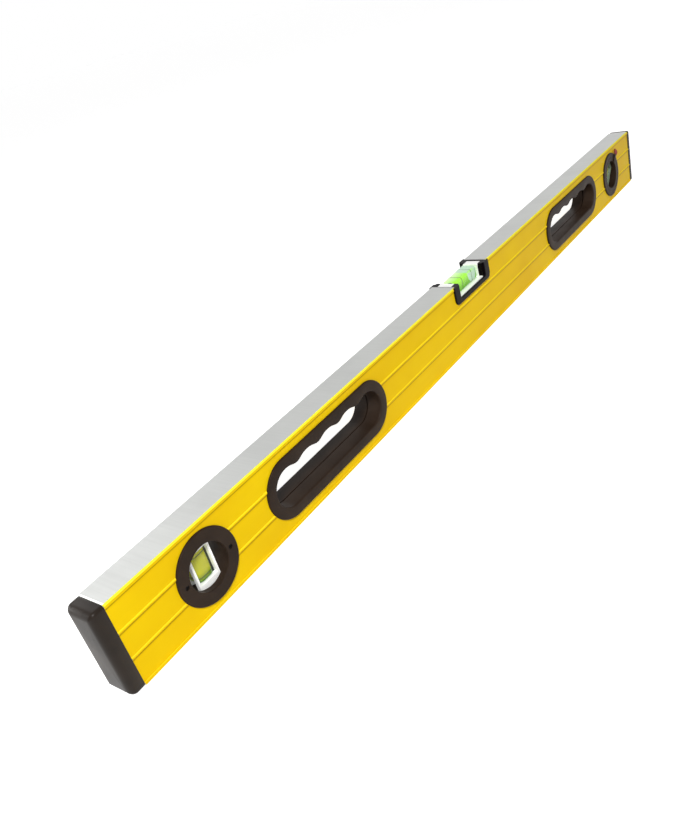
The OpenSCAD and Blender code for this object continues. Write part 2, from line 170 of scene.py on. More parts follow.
def beam_finish():
    """Polyester powder coat on a 6063 aluminium extrusion, milled and cut after coating.

    The coat is a satin yellow with a fine orange peel, faint lines from the die, a slow
    drift of tone and paler rubbed patches. Faces turned upwards and the chamfers get a
    painted highlight, and a band under each bead gets painted shade. The sole, the top and
    every cut face are bare: pale grey metal with the cutter's feed marks across it, and at
    each end an edge that filing left bare, painted near-white as a highlight.
    """
    material, tree, shader = finish(
        "aluminium_extrusion_powder_coated_and_milled", {"Specular IOR Level": 0.06}
    )
    place = add(tree, "TexCoord").outputs["Object"]
    spot = add(tree, "SeparateXYZ", {"Vector": place})
    centred = add(
        tree, "Math", {0: spot.outputs["Z"], 1: beam_mid.z * MM}, operation="SUBTRACT"
    )
    from_middle = add(tree, "Math", {0: centred}, operation="ABSOLUTE")
    from_centre = add(tree, "Math", {0: spot.outputs["X"]}, operation="ABSOLUTE")
    half_height = beam_high.z - beam_mid.z
    milled = add(
        tree, "Math", {0: from_middle, 1: (half_height - MILLED_BAND) * MM},
        operation="GREATER_THAN",
    )
    chamfer = add(
        tree, "Math", {0: from_middle, 1: (half_height - CHAMFER) * MM},
        operation="GREATER_THAN",
    )
    # Painted highlight: a band at each end of the beam, where the metal was filed bare, is
    # painted near-white
    filed_end_highlight = add(
        tree, "Math", {0: from_centre, 1: (beam_high.x - FILED_HIGHLIGHT_BAND) * MM}, operation="GREATER_THAN"
    )
    slope = add(tree, "SeparateXYZ", {"Vector": add(tree, "NewGeometry").outputs["Normal"]})
    steepness = add(tree, "Math", {0: slope.outputs["X"]}, operation="ABSOLUTE")
    cut = add(tree, "Math", {0: steepness, 1: CUT_SLOPE}, operation="GREATER_THAN")
    bare = add(tree, "Math", {0: milled, 1: cut}, operation="MAXIMUM")
    # Painted highlight: faces turned upwards, and the chamfers along the top and the sole, are
    # painted paler as if lit from above
    painted_top_light = add(
        tree, "MapRange",
        {"Value": slope.outputs["Z"], "From Min": 0.1, "From Max": 0.7, "To Max": 0.4},
    )
    painted_highlight = add(tree, "Math", {0: painted_top_light, 1: chamfer}, operation="MAXIMUM")
    # Painted shade: a band on the panel just under each bead is painted darker, where the bead's
    # shadow falls
    above_foot = add(tree, "Math", {0: centred, 1: BEAD_FOOT * MM}, operation="SUBTRACT")
    beads_up = add(tree, "Math", {0: above_foot, 1: BEAD_PITCH * MM}, operation="DIVIDE")
    under_bead = add(tree, "Math", {0: beads_up}, operation="FRACT")
    painted_shade_under_beads = add(
        tree, "MapRange",
        {"Value": under_bead, "From Min": 0.92, "From Max": 0.985, "To Max": 0.75},
        interpolation_type="SMOOTHSTEP",
    )

    along = add(tree, "Mapping", {"Vector": place, "Scale": (1 / DRAWN_LENGTH, 1, 1)})
    across = add(tree, "Mapping", {"Vector": place, "Scale": (1, 1 / SWEEP_LENGTH, 1)})
    drift = add(tree, "TexNoise", {"Vector": place, "Scale": per(DRIFT), "Detail": 3})
    die_lines = add(tree, "TexNoise", {"Vector": along, "Scale": per(DIE_LINE), "Detail": 2})
    peel = add(tree, "TexNoise", {"Vector": place, "Scale": per(ORANGE_PEEL), "Detail": 2})
    rubs = add(
        tree, "TexNoise", {"Vector": place, "Scale": per(RUB), "Detail": 6, "Roughness": 0.75}
    )
    feed = add(tree, "TexNoise", {"Vector": across, "Scale": per(FEED_MARK), "Detail": 4})
    cloud = add(tree, "TexNoise", {"Vector": place, "Scale": per(CLOUD), "Detail": 5})

    tone = add(tree, "MapRange", {"Value": drift, "From Min": 0.3, "From Max": 0.7})
    lined = add(
        tree, "MapRange", {"Value": die_lines, "From Min": 0.45, "From Max": 0.8, "To Max": 0.3}
    )
    rubbed = add(
        tree, "MapRange", {"Value": rubs, "From Min": 0.66, "From Max": 0.8, "To Max": 0.5}
    )
    coat = add(tree, "Mix", {"Factor": tone, "A": COAT, "B": COAT_DEEP}, data_type="RGBA")
    coat = add(tree, "Mix", {"Factor": lined, "A": coat, "B": COAT_DEEP}, data_type="RGBA")
    coat = add(tree, "Mix", {"Factor": rubbed, "A": coat, "B": COAT_RUB}, data_type="RGBA")
    coat = add(tree, "Mix", {"Factor": painted_shade_under_beads, "A": coat, "B": COAT_PAINTED_SHADE}, data_type="RGBA")
    coat = add(tree, "Mix", {"Factor": painted_highlight, "A": coat, "B": COAT_PAINTED_HIGHLIGHT}, data_type="RGBA")
    marks = add(
        tree, "MapRange", {"Value": feed, "From Min": 0.3, "From Max": 0.7, "To Max": 0.3}
    )
    stain = add(
        tree, "MapRange", {"Value": cloud, "From Min": 0.45, "From Max": 0.75, "To Max": 0.5}
    )
    metal = add(
        tree, "Mix", {"Factor": marks, "A": MILLED, "B": MILLED_SHADE}, data_type="RGBA"
    )
    metal = add(tree, "Mix", {"Factor": stain, "A": metal, "B": MILLED_SHADE}, data_type="RGBA")
    metal = add(tree, "Mix", {"Factor": filed_end_highlight, "A": metal, "B": MILLED_END_HIGHLIGHT}, data_type="RGBA")
    colour = add(tree, "Mix", {"Factor": bare, "A": coat, "B": metal}, data_type="RGBA")

    coat_gloss = add(tree, "MapRange", {"Value": rubs, "To Min": 0.36, "To Max": 0.48})
    metal_gloss = add(tree, "MapRange", {"Value": feed, "To Min": 0.4, "To Max": 0.52})
    gloss = add(tree, "Mix", {"Factor": bare, "A": coat_gloss, "B": metal_gloss})
    lines = add(tree, "Mix", {"Factor": bare, "A": die_lines, "B": feed})
    fine = add(tree, "Bump", {"Height": peel, "Distance": PEEL_DEPTH * MM})
    bump = add(
        tree, "Bump", {"Height": lines, "Distance": LINE_DEPTH * MM, "Normal": fine}
    )
    wire(shader, {"Base Color": colour, "Metallic": bare, "Roughness": gloss, "Normal": bump})
    return material


TONE_PATCH = 18
SCUFF = 2.5
SCUFF_LENGTH = 6  # how much longer than wide a scuff is
HAZE = 3
SWIRL = 6
SWIRL_SHIFT = 0.12
DRIVER_RUB = 0.8
RIPPLE_DEPTH = 0.01


def moulded(name, colours, gloss, grain, grain_depth, scuffing, inputs):
    """Moulded plastic: a spark-eroded grain, a slow change of tone, and scuffs that dull it.

    The colours are its own, its own in shade, and that of a scuff.
    """
    material, tree, shader = finish(name, inputs)
    place = add(tree, "TexCoord").outputs["Object"]
    drawn = add(tree, "Mapping", {"Vector": place, "Scale": (1 / SCUFF_LENGTH, 1, 1)})
    drift = add(tree, "TexNoise", {"Vector": place, "Scale": per(TONE_PATCH), "Detail": 4})
    texture = add(tree, "TexNoise", {"Vector": place, "Scale": per(grain), "Detail": 2})
    scratches = add(
        tree, "TexNoise", {"Vector": drawn, "Scale": per(SCUFF), "Detail": 8, "Roughness": 0.7}
    )
    tone = add(tree, "MapRange", {"Value": drift, "From Min": 0.35, "From Max": 0.65})
    worn = add(
        tree, "MapRange",
        {"Value": scratches, "From Min": 0.6, "From Max": 0.78, "To Max": scuffing},
    )
    body = add(tree, "Mix", {"Factor": tone, "A": colours[0], "B": colours[1]}, data_type="RGBA")
    colour = add(tree, "Mix", {"Factor": worn, "A": body, "B": colours[2]}, data_type="RGBA")
    sheen = add(tree, "MapRange", {"Value": drift, "To Min": gloss[0], "To Max": gloss[1]})
    dull = add(tree, "Math", {0: sheen, 1: worn}, operation="ADD")
    bump = add(tree, "Bump", {"Height": texture, "Distance": grain_depth * MM})
    wire(shader, {"Base Color": colour, "Roughness": dull, "Normal": bump})
    return material


def clear(name, colours, alpha, gloss):
    """Clear plastic or a liquid's film: a thin tint with a faint haze, denser edge-on.

    The two alphas are its own seen straight on and edge-on.
    """
    material, tree, shader = finish(name, {"IOR": 1.49})
    facing = add(tree, "LayerWeight").outputs["Facing"]
    density = add(
        tree, "MapRange",
        {"Value": facing, "From Min": 0.55, "To Min": alpha[0], "To Max": alpha[1]},
    )
    place = add(tree, "TexCoord").outputs["Object"]
    haze = add(tree, "TexNoise", {"Vector": place, "Scale": per(HAZE), "Detail": 6})
    share = add(tree, "MapRange", {"Value": haze, "From Min": 0.35, "From Max": 0.7})
    colour = add(
        tree, "Mix", {"Factor": share, "A": colours[0], "B": colours[1]}, data_type="RGBA"
    )
    sheen = add(tree, "MapRange", {"Value": haze, "To Min": gloss, "To Max": gloss + 0.1})
    bump = add(tree, "Bump", {"Height": haze, "Distance": RIPPLE_DEPTH * MM})
    wire(
        shader, {"Base Color": colour, "Alpha": density, "Roughness": sheen, "Normal": bump}
    )
    return material


def dyed_spirit(name, colours, levels, glow):
    """Dyed spirit: painted light brighter towards the top, painted shade deeper towards the
    bottom, and a faint painted glow.

    The colours are its own, that of its painted shade at the bottom, and that of the painted
    light at its rear.
    """
    # Painted glow: a faint emission in the spirit's own colour
    material, tree, shader = finish(
        name, {"IOR": 1.36, "Emission Color": colours[0], "Emission Strength": glow}
    )
    coordinates = add(tree, "TexCoord")
    share = add(tree, "SeparateXYZ", {"Vector": coordinates.outputs["Generated"]})
    swirl = add(
        tree, "TexNoise",
        {"Vector": coordinates.outputs["Object"], "Scale": per(SWIRL), "Detail": 4},
    )
    shift = add(tree, "MapRange", {"Value": swirl, "To Min": -SWIRL_SHIFT, "To Max": SWIRL_SHIFT})
    level = add(tree, "Math", {0: share.outputs["Z"], 1: shift}, operation="ADD")
    # Painted shade towards the bottom of the spirit, and painted light towards its rear
    depth = add(tree, "MapRange", {"Value": level, "From Min": levels[0], "From Max": levels[1]})
    painted_rear_light = add(tree, "MapRange", {"Value": share.outputs["Y"], "From Min": 0.2, "To Max": 0.95})
    lit = add(tree, "Mix", {"Factor": painted_rear_light, "A": colours[0], "B": colours[2]}, data_type="RGBA")
    colour = add(tree, "Mix", {"Factor": depth, "A": colours[1], "B": lit}, data_type="RGBA")
    sheen = add(tree, "MapRange", {"Value": swirl, "To Min": 0.08, "To Max": 0.2})
    wire(shader, {"Base Color": colour, "Roughness": sheen})
    return material


def blackened_steel():
    """Chemically blackened steel: dark metal, paler where the driver has rubbed it."""
    material, tree, shader = finish("steel_screw_turned_and_blackened", {"Metallic": 1.0})
    place = add(tree, "TexCoord").outputs["Object"]
    rub = add(tree, "TexNoise", {"Vector": place, "Scale": per(DRIVER_RUB), "Detail": 6})
    share = add(tree, "MapRange", {"Value": rub, "From Min": 0.55, "From Max": 0.75})
    colour = add(tree, "Mix", {"Factor": share, "A": "#1c1918", "B": "#4a4440"}, data_type="RGBA")
    sheen = add(tree, "MapRange", {"Value": rub, "To Min": 0.3, "To Max": 0.55})
    bump = add(tree, "Bump", {"Height": rub, "Distance": RIPPLE_DEPTH * MM})
    wire(shader, {"Base Color": colour, "Roughness": sheen, "Normal": bump})
    return material


BEAM = beam_finish()
# Injection-moulded ABS, spark-eroded mould: near-black end caps with a soft sheen; the warm brown
# in their colours is a painted reflection
CAP_ABS = moulded(
    "abs_end_cap_injection_moulded", ("#231a12", "#1a130d", "#362c23"), (0.34, 0.44),
    0.5, 0.012, 0.2, {"IOR": 1.53, "Specular IOR Level": 0.15},
)
# Impact-modified polypropylene, moulded: warm black rims with a slightly waxy surface
RIM_PP = moulded(
    "polypropylene_rim_injection_moulded", ("#30241b", "#271c14", "#40342a"), (0.4, 0.52),
    0.6, 0.015, 0.2, {"IOR": 1.49, "Specular IOR Level": 0.09},
)
# Moulded ABS, polished mould: the black surround of the centre vial, glossier than the rims
FRAME_ABS = moulded(
    "abs_vial_surround_injection_moulded", ("#110b11", "#0b080b", "#221c22"), (0.22, 0.32),
    0.7, 0.008, 0.15, {"IOR": 1.53, "Specular IOR Level": 0.05},
)
# White-pigmented ABS, moulded: thin carriers with a painted glow, a faint emission that keeps
# them white inside their recesses
CARRIER_ABS_PAINTED_GLOW = moulded(
    "white_abs_carrier_injection_moulded", ("#fefefb", "#f7f8f3", "#e8e8e1"), (0.3, 0.42),
    0.5, 0.008, 0.2, {"IOR": 1.53, "Emission Color": "#ffffff", "Emission Strength": 0.12},
)
# White ABS, moulded, for the angle vial's carrier: the same moulding as the other carriers, made
# a dull grey-green by painted shade
SHADED_CARRIER_ABS = moulded(
    "white_abs_carrier_painted_shade", ("#7d8c78", "#6c7b68", "#9aa895"), (0.34, 0.46),
    0.5, 0.008, 0.2, {"IOR": 1.53, "Specular IOR Level": 0.2},
)
# Red-pigmented ABS, moulded: the pointers of the angle vial
POINTER_ABS = moulded(
    "red_abs_pointer_injection_moulded", ("#9c1c08", "#861605", "#b43c22"), (0.36, 0.46),
    0.5, 0.01, 0.2, {"IOR": 1.53, "Specular IOR Level": 0.08},
)
# Green polyethylene, moulded: the stopper that closes a chamber, waxy and dark
PLUG_PE = moulded(
    "green_polyethylene_plug_moulded", ("#2c5a18", "#234a12", "#4c7a34"), (0.4, 0.5),
    0.5, 0.01, 0.2, {"IOR": 1.51, "Specular IOR Level": 0.2},
)
# Black enamel fired on gauge rings: thin dark bands with a soft shine
RING_ENAMEL = moulded(
    "black_enamel_gauge_ring", ("#35541a", "#284212", "#557636"), (0.25, 0.35),
    0.4, 0.005, 0.2, {},
)
# Cast acrylic, machined and flame-polished: water-clear, and mint green seen edge-on
ACRYLIC = clear("cast_acrylic_flame_polished", ("#e6fbf0", "#c8f0da"), (0.03, 0.3), 0.03)
# Lime spirit in the centre vial, with fluorescent dye: its glow is a painted glow, a faint
# emission in its own colour
LIME_SPIRIT = dyed_spirit(
    "mineral_spirit_lime_dye", ("#a6f634", "#429000", "#f6ffe0"), (0.1, 0.9), 0.16
)
# Olive-yellow spirit in the round vials, with a fainter painted glow
OLIVE_SPIRIT = dyed_spirit(
    "mineral_spirit_olive_dye", ("#bdbc02", "#35761a", "#c9c71c"), (0.04, 0.3), 0.08
)
# Air under a film of lime spirit: pale mint, with a wet shine
BUBBLE_FILM = clear("lime_spirit_film", ("#e2faea", "#cdf5da"), (0.8, 0.95), 0.04)
# Air under a film of olive spirit: hardly paler than the spirit
OLIVE_FILM = clear("olive_spirit_film", ("#e2e25c", "#d2d248"), (0.12, 0.3), 0.04)
SCREW_STEEL = blackened_steel()

# ---- Shapes: helpers ----

ARC_STEPS = 28
SHARP = math.radians(34)
WELD = 0.001
CUT_MARGIN = 1  # how far a cutter reaches past what it cuts


def arc(x, z, r, start, end, steps=ARC_STEPS):
    """Points on an arc about (x, z), in degrees from +X towards +Z, both ends included."""
    turns = [math.radians(start + (end - start) * i / steps) for i in range(steps + 1)]
    return [(x + r * math.cos(t), z + r * math.sin(t)) for t in turns]


def circle(r, steps=128):
    return arc(0, 0, r, 0, 360, steps)[:-1]


def rounded(w, h, r, steps=6):
    """Rectangle w by h with rounded corners, going round from the lower right."""
    x, z = w / 2 - r, h / 2 - r
    return (
        arc(x, -z, r, -90, 0, steps) + arc(x, z, r, 0, 90, steps)
        + arc(-x, z, r, 90, 180, steps) + arc(-x, -z, r, 180, 270, steps)
    )


def quarter(r, steps=5):
    """(inset, drop) pairs that round an edge, from its side up to its face."""
    turns = [math.pi / 2 * i / steps for i in range(steps + 1)]
    return [(r * (1 - math.cos(t)), r * (1 - math.sin(t))) for t in turns]


def skin(bm, rows, around=True, ends="open"):
    """Faces between rows of points. Ends are open, capped, or joined to each other."""
    made = [[bm.verts.new(point) for point in row] for row in rows]
    pairs = list(zip(made, made[1:]))
    if ends == "joined":
        pairs.append((made[-1], made[0]))
    for a, b in pairs:
        count = len(a) if around else len(a) - 1
        for i in range(count):
            j = (i + 1) % len(a)
            bm.faces.new((a[i], a[j], b[j], b[i]))
    if ends == "capped":
        bm.faces.new(made[0])
        bm.faces.new(list(reversed(made[-1])))
    if not around:
        for i in (0, -1):
            bm.faces.new([row[i] for row in made])


def standing(rows, side, x=0.0, z=0.0):
    """Rows of (outline in X and Z, distance from the middle plane) as points on one side."""
    return [[(x + u, side * depth, z + v) for u, v in line] for line, depth in rows]


def lying(rows):
    """Rows of (outline in Y and Z, place along X) as points."""
    return [[(x, u, v) for u, v in line] for line, x in rows]


def prism(bm, length, outline, edge, steps=4):
    """Bar along X with rounded ends. The outline is a function of how far it is inset."""
    levels = [(i, length / 2 - d) for i, d in reversed(quarter(edge, steps))]
    rows = [(outline(i), -x) for i, x in levels]
    rows += [(outline(i), x) for i, x in reversed(levels)]
    skin(bm, lying(rows), ends="capped")


def box_outline(w, h, r):
    """Outline function of a bar with rounded edges, for prism."""
    return lambda inset: rounded(w - 2 * inset, h - 2 * inset, r - inset)


def new_mesh(name, bm):
    """Turns drawn millimetres into a mesh in metres, with its faces the right way out."""
    bmesh.ops.recalc_face_normals(bm, faces=bm.faces[:])
    bm.transform(Matrix.Scale(MM, 4))
    mesh = bpy.data.meshes.new(name)
    bm.to_mesh(mesh)
    bm.free()
    return mesh


def smooth(mesh):
    """Smooth shading that breaks at sharp edges."""
    mesh.polygons.foreach_set("use_smooth", [True] * len(mesh.polygons))
    mesh.set_sharp_from_angle(angle=SHARP)


def piece(name, bm, material, body, slot, *nodes):
    """Makes a piece that rides on a body and stands for CAD nodes."""
    mesh = new_mesh(name, bm)
    smooth(mesh)
    mesh.materials.append(material)
    obj = bpy.data.objects.new(name, mesh)
    scene.collection.objects.link(obj)
    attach(obj, body)
    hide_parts(*nodes)
    return obj


def carve(obj, bm):
    """Cuts drawn solids out of a piece, and keeps the result as its mesh."""
    cutter = bpy.data.objects.new("cutter", new_mesh("cutter", bm))
    scene.collection.objects.link(cutter)
    cut = obj.modifiers.new("cut", "BOOLEAN")
    cut.object = cutter
    cut.solver = "EXACT"
    bpy.context.view_layer.update()
    evaluated = obj.evaluated_get(bpy.context.evaluated_depsgraph_get())
    carved = bpy.data.meshes.new_from_object(evaluated)
    obj.modifiers.clear()
    obj.data = carved
    smooth(carved)
    obj.modifiers.new("shading", "WEIGHTED_NORMAL").keep_sharp = True
    bpy.data.objects.remove(cutter)


def soften(obj, edge):
    """Small rounded edges that catch the light."""
    obj.modifiers.new("weld", "WELD").merge_threshold = WELD * MM
    bevel = obj.modifiers.new("edges", "BEVEL")
    bevel.limit_method = "ANGLE"
    bevel.angle_limit = SHARP
    bevel.width = edge * MM
    bevel.segments = 2
    bevel.miter_outer = "MITER_ARC"
    obj.modifiers.new("shading", "WEIGHTED_NORMAL").keep_sharp = True


def dress(node, material, edge=0.0):
    """Gives a CAD node its finish, and rounded edges where they show."""
    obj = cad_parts[node]
    obj.data.materials.clear()
    obj.data.materials.append(material)
    if edge:
        soften(obj, edge)


# ---- Beam ----

dress("beam", BEAM)

# ---- End caps ----

CAP_ROUND = 4.2
CAP_CORNER = 2.1
CAP_CROWN = 0.25
CAP_LIP = 0.4
SMALL_CORNER = 0.4
CROWN_STEPS = (0.75, 0.5, 0.25, 0.06)


def end_cap(node, side):
    """Rounded block over the beam's end, with a slightly crowned end face."""
    low, high, mid = extent(node)
    w, h = high.y - low.y, high.z - low.z
    root = beam_high.x
    tip = max(abs(low.x), abs(high.x)) - CAP_CROWN
    levels = [(CAP_LIP / 2, root), (0, root + CAP_LIP)]
    levels += [(inset, tip - drop) for inset, drop in quarter(CAP_ROUND, 10)]
    rows = [
        (rounded(w - 2 * i, h - 2 * i, max(CAP_CORNER - i / 2, SMALL_CORNER)), side * x)
        for i, x in levels
    ]
    flat_w, flat_h = w - 2 * CAP_ROUND, h - 2 * CAP_ROUND
    for share in CROWN_STEPS:
        face = rounded(flat_w, flat_h, SMALL_CORNER)
        rise = CAP_CROWN * (1 - share * share)
        rows.append(([(u * share, v * share) for u, v in face], side * (tip + rise)))
    bm = bmesh.new()
    skin(bm, lying(rows), ends="capped")
    bm.transform(Matrix.Translation((0, 0, mid.z)))
    piece(node + "_moulding", bm, CAP_ABS, "level", "end_cap", node)


end_cap("end_cap_left", -1)
end_cap("end_cap_right", 1)

# ---- Hand holes ----

RIM_T = 1.4
GRIP_OPENING = (115, 25.8)
GRIP_LAP = 3.15
FINGER_PITCH = 22.4
FINGER_DEPTH = 2.2
CUSP_POWER = 1.5
GRIP_OUTER_ROUND = 0.8
GRIP_INNER_ROUND = 1.0
SEAM_W = 0.45
SEAM_DEEP = 1.3
STRAIGHT_STEPS = 96


def stadium(length, height):
    """Slot outline, from the lower right end of its floor."""
    r = height / 2
    half = length / 2 - r
    straight = [-half + 2 * half * i / STRAIGHT_STEPS for i in range(1, STRAIGHT_STEPS)]
    points = arc(half, 0, r, -90, 90) + [(x, r) for x in reversed(straight)]
    return points + arc(-half, 0, r, 90, 270) + [(x, -r) for x in straight]


def opening(grown):
    """The hole's outline with its finger grooves, grown outwards all round."""
    length, height = (size + 2 * grown for size in GRIP_OPENING)
    line = []
    for x, z in stadium(length, height):
        if z > 0 and abs(x) < 2 * FINGER_PITCH:
            wave = (1 - math.cos(2 * math.pi * x / FINGER_PITCH)) / 2
            z = min(z, height / 2 - FINGER_DEPTH * wave ** CUSP_POWER)
        line.append((x, z))
    return line


def grip(node, side):
    """Half of a hand hole's lining: soft rim, finger grooves, and a seam at mid-depth."""
    low, high, mid = extent(node)
    length, height = high.x - low.x, high.z - low.z
    face, seam = depths(node)
    panel = face - RIM_T
    rows = [(stadium(length, height), panel)]
    for inset, drop in quarter(GRIP_OUTER_ROUND):
        rows.append((stadium(length - 2 * inset, height - 2 * inset), face - drop))
    for inset, drop in reversed(quarter(GRIP_INNER_ROUND, 6)):
        rows.append((opening(inset), face - drop))
    rows.append((opening(0), seam + SEAM_W))
    rows.append((opening(SEAM_DEEP), seam))
    plug = stadium(length - 2 * GRIP_LAP, height - 2 * GRIP_LAP)
    rows += [(plug, seam), (plug, panel)]
    bm = bmesh.new()
    skin(bm, standing(rows, side, mid.x, mid.z), ends="joined")
    piece(node + "_moulding", bm, RIM_PP, "level", "grip", node)


for end in ("left", "right"):
    grip(f"grip_{end}_front", FRONT)
    grip(f"grip_{end}_rear", REAR)

# ---- Round bezels ----

RING_ROUND = 0.8
WINDOW_ROUND = 0.45
JOINT_ROUND = 0.25
LIP_BACK = 7.15
bezel_low, bezel_high, _ = extent("plumb_bezel_front")
RING_R = (bezel_high.x - bezel_low.x) / 2
RING_LAP = 1.95
BEARING_WALL = 2.65
DRUM_WALL = 3
DRUM_FLANGE_W = 1.7
WINDOW_LIP = 0.9
BEZEL_R = RING_R - RING_LAP
DRUM_R = BEZEL_R - BEARING_WALL
DRUM_RUN = 0.06
DRUM_FLANGE_R = DRUM_R + DRUM_FLANGE_W
DRUM_FLANGE_Y = 6.85
POCKET_R = DRUM_R - DRUM_WALL
WINDOW_R = POCKET_R - WINDOW_LIP
SCREW_RECESS_R = 1.55
SCREW_RECESS_STEPS = 32
SCREW_HEAD_T = 1
SCREW_EDGE = 0.08


def turned(bm, profile, side, mid):
    """Ring about the middle of a bezel, from a closed profile of (radius, depth)."""
    rows = [(circle(r), depth) for r, depth in profile]
    skin(bm, standing(rows, side, mid.x, mid.z), ends="joined")


def rounded_face(outer, inner, face, outer_round, inner_round):
    """Profile of a ring's face, from its outer side over to its inner side."""
    profile = [(outer - i, face - d) for i, d in quarter(outer_round)]
    return profile + [(inner + i, face - d) for i, d in reversed(quarter(inner_round))]


def plumb_bezel(node, side):
    """Fixed ring with its window and the pocket for the carrier."""
    face, seam = depths(node)
    profile = rounded_face(RING_R, WINDOW_R, face, RING_ROUND, WINDOW_ROUND)
    profile += [
        (WINDOW_R, LIP_BACK), (POCKET_R, LIP_BACK), (POCKET_R, seam), (BEZEL_R, seam),
        (BEZEL_R, face - RIM_T), (RING_R, face - RIM_T),
    ]
    bm = bmesh.new()
    turned(bm, profile, side, extent(node)[2])
    return piece(node + "_moulding", bm, RIM_PP, "level", "bezel", node)


def angle_bezel(node, side):
    """Fixed ring that the drum turns in."""
    face, back = depths(node)
    bore = DRUM_R + DRUM_RUN
    profile = rounded_face(RING_R, bore, face, RING_ROUND, JOINT_ROUND)
    profile += [(bore, back), (BEZEL_R, back), (BEZEL_R, face - RIM_T), (RING_R, face - RIM_T)]
    bm = bmesh.new()
    turned(bm, profile, side, extent(node)[2])
    piece(node + "_moulding", bm, RIM_PP, "level", "bezel", node)


screw_low, screw_high, screw_mid = extent("plumb_screws")
screw_head_r = (screw_high.z - screw_low.z) / 2

front_bezel = plumb_bezel("plumb_bezel_front", FRONT)
recesses = bmesh.new()
recess_ends = (-bezel_low.y + CUT_MARGIN, -screw_low.y - SCREW_HEAD_T)
for x in (screw_low.x + screw_head_r, screw_high.x - screw_head_r):
    recess = [(circle(SCREW_RECESS_R, SCREW_RECESS_STEPS), y) for y in recess_ends]
    skin(recesses, standing(recess, FRONT, x, screw_mid.z), ends="capped")
carve(front_bezel, recesses)
plumb_bezel("plumb_bezel_rear", REAR)
dress("plumb_screws", SCREW_STEEL, edge=SCREW_EDGE)

# ---- Angle drum and its pointers ----

ANGLE_SET = 50
ARM_W = 3.6
ARM_T = 0.8
ARM_GAP = 0.35
ARM_ROUND = 0.3  # share of its thickness
ARM_FOOT_INSET = 0.6
ARM_FOOT = (WINDOW_R + ARM_FOOT_INSET, DRUM_R - ARM_FOOT_INSET)
ARM_OVERRUN = 0.3
ARM_END = RING_R + ARM_OVERRUN
POINTER_EDGE = 0.2


def turned_into_place(middle, tilt):
    """Takes a shape drawn along X to its place, with its far end raised by tilt degrees."""
    return Matrix.Translation(middle) @ Matrix.Rotation(-math.radians(tilt), 4, "Y")


def angle_drum(node, side):
    """Half of the drum that turns, with the arm that carries its pointer over the bezel."""
    face, seam = depths(f"plumb_bezel_{node.split('_')[-1]}")
    middle = extent(node.replace("drum", "bezel"))[2]
    profile = rounded_face(DRUM_R, WINDOW_R, face, JOINT_ROUND, WINDOW_ROUND)
    profile += [
        (WINDOW_R, LIP_BACK), (POCKET_R, LIP_BACK), (POCKET_R, seam), (DRUM_FLANGE_R, seam),
        (DRUM_FLANGE_R, DRUM_FLANGE_Y), (DRUM_R, DRUM_FLANGE_Y),
    ]
    bm = bmesh.new()
    turned(bm, profile, side, middle)
    arm_y = face + ARM_GAP + ARM_T / 2
    foot_t = ARM_GAP + ARM_T / 2
    for start, end, thick, y in (
        (ARM_FOOT[0], ARM_END, ARM_T, arm_y),
        (*ARM_FOOT, foot_t, face + foot_t / 2),
    ):
        bar = bmesh.new()
        edge = ARM_ROUND * thick
        prism(bar, end - start, box_outline(thick, ARM_W, edge), edge)
        bar.transform(Matrix.Translation(((start + end) / 2, side * y, 0)))
        bar.transform(turned_into_place((middle.x, 0, middle.z), ANGLE_SET))
        arm = bpy.data.meshes.new("arm")
        bar.to_mesh(arm)
        bar.free()
        bm.from_mesh(arm)
        bpy.data.meshes.remove(arm)
    piece(node + "_moulding", bm, RIM_PP, "angle_drum", "bezel", node)


for half, side in (("front", FRONT), ("rear", REAR)):
    angle_bezel("angle_bezel_" + half, side)
    angle_drum("angle_drum_" + half, side)
    dress("angle_pointer_" + half, POINTER_ABS, edge=POINTER_EDGE)

# ---- Vials ----

BLOCK_ROUND = 0.5
LIQUID_ROUND = 0.6
GAUGE_W = 0.6
GAUGE_PROUD = 0.12
FILM_T = 0.08
SADDLE_STEPS = 24
SIDE_STEPS = 10
BLOCK_CORNER = 0.6
GAUGE_FLAT = 0.7  # share of a ring's width that stands at its full height
CARRIER_FACE_T = 2.8
CARRIER_EDGE = 0.15
CENTRE_CARRIER_EDGE = 0.25

# A block magnifies the liquid inside it, so the liquid is drawn at the size that it seems.
VIALS = {
    "centre": {
        "tilt": 0, "block": (38, 13, 10.6), "liquid": (32.9, 12.6, 10.2, 1.6), "gauge": 16,
        "bubble": (14.4, 8.9), "covers": 0.72,
        "finishes": (LIME_SPIRIT, BUBBLE_FILM), "bodies": ("level", "centre_bubble"),
    },
    "plumb": {
        "tilt": 90, "block": (20, 12.6, 13), "liquid": (19.2, 11.6, 11.8, 3.4), "gauge": 14,
        "bubble": (9, 2.15), "covers": 1,
        "finishes": (OLIVE_SPIRIT, OLIVE_FILM), "bodies": ("level", "plumb_bubble"),
    },
    "angle": {
        "tilt": ANGLE_SET, "block": (20, 12.6, 13), "liquid": (19.2, 11.6, 11.8, 3.4),
        "gauge": 14, "bubble": (9, 2.15), "covers": 1,
        "finishes": (OLIVE_SPIRIT, OLIVE_FILM), "bodies": ("angle_drum", "angle_bubble"),
    },
}


def round_side(w, h, r):
    """Function that gives the point at a share of the way round from top to bottom."""
    two_corners = 2 * (SIDE_STEPS + 1)
    right = list(reversed(rounded(w, h, r, SIDE_STEPS)[:two_corners]))
    line = [(0.0, h / 2)] + right + [(0.0, -h / 2)]
    runs = [0.0]
    for a, b in zip(line, line[1:]):
        runs.append(runs[-1] + math.dist(a, b))

    def point(share):
        reach = abs(share) * runs[-1]
        k = next(i for i, run in enumerate(runs[1:], 1) if run >= reach - WELD)
        t = (reach - runs[k - 1]) / max(runs[k] - runs[k - 1], WELD)
        u = line[k - 1][0] + t * (line[k][0] - line[k - 1][0])
        return math.copysign(u, share), line[k - 1][1] + t * (line[k][1] - line[k - 1][1])

    return point


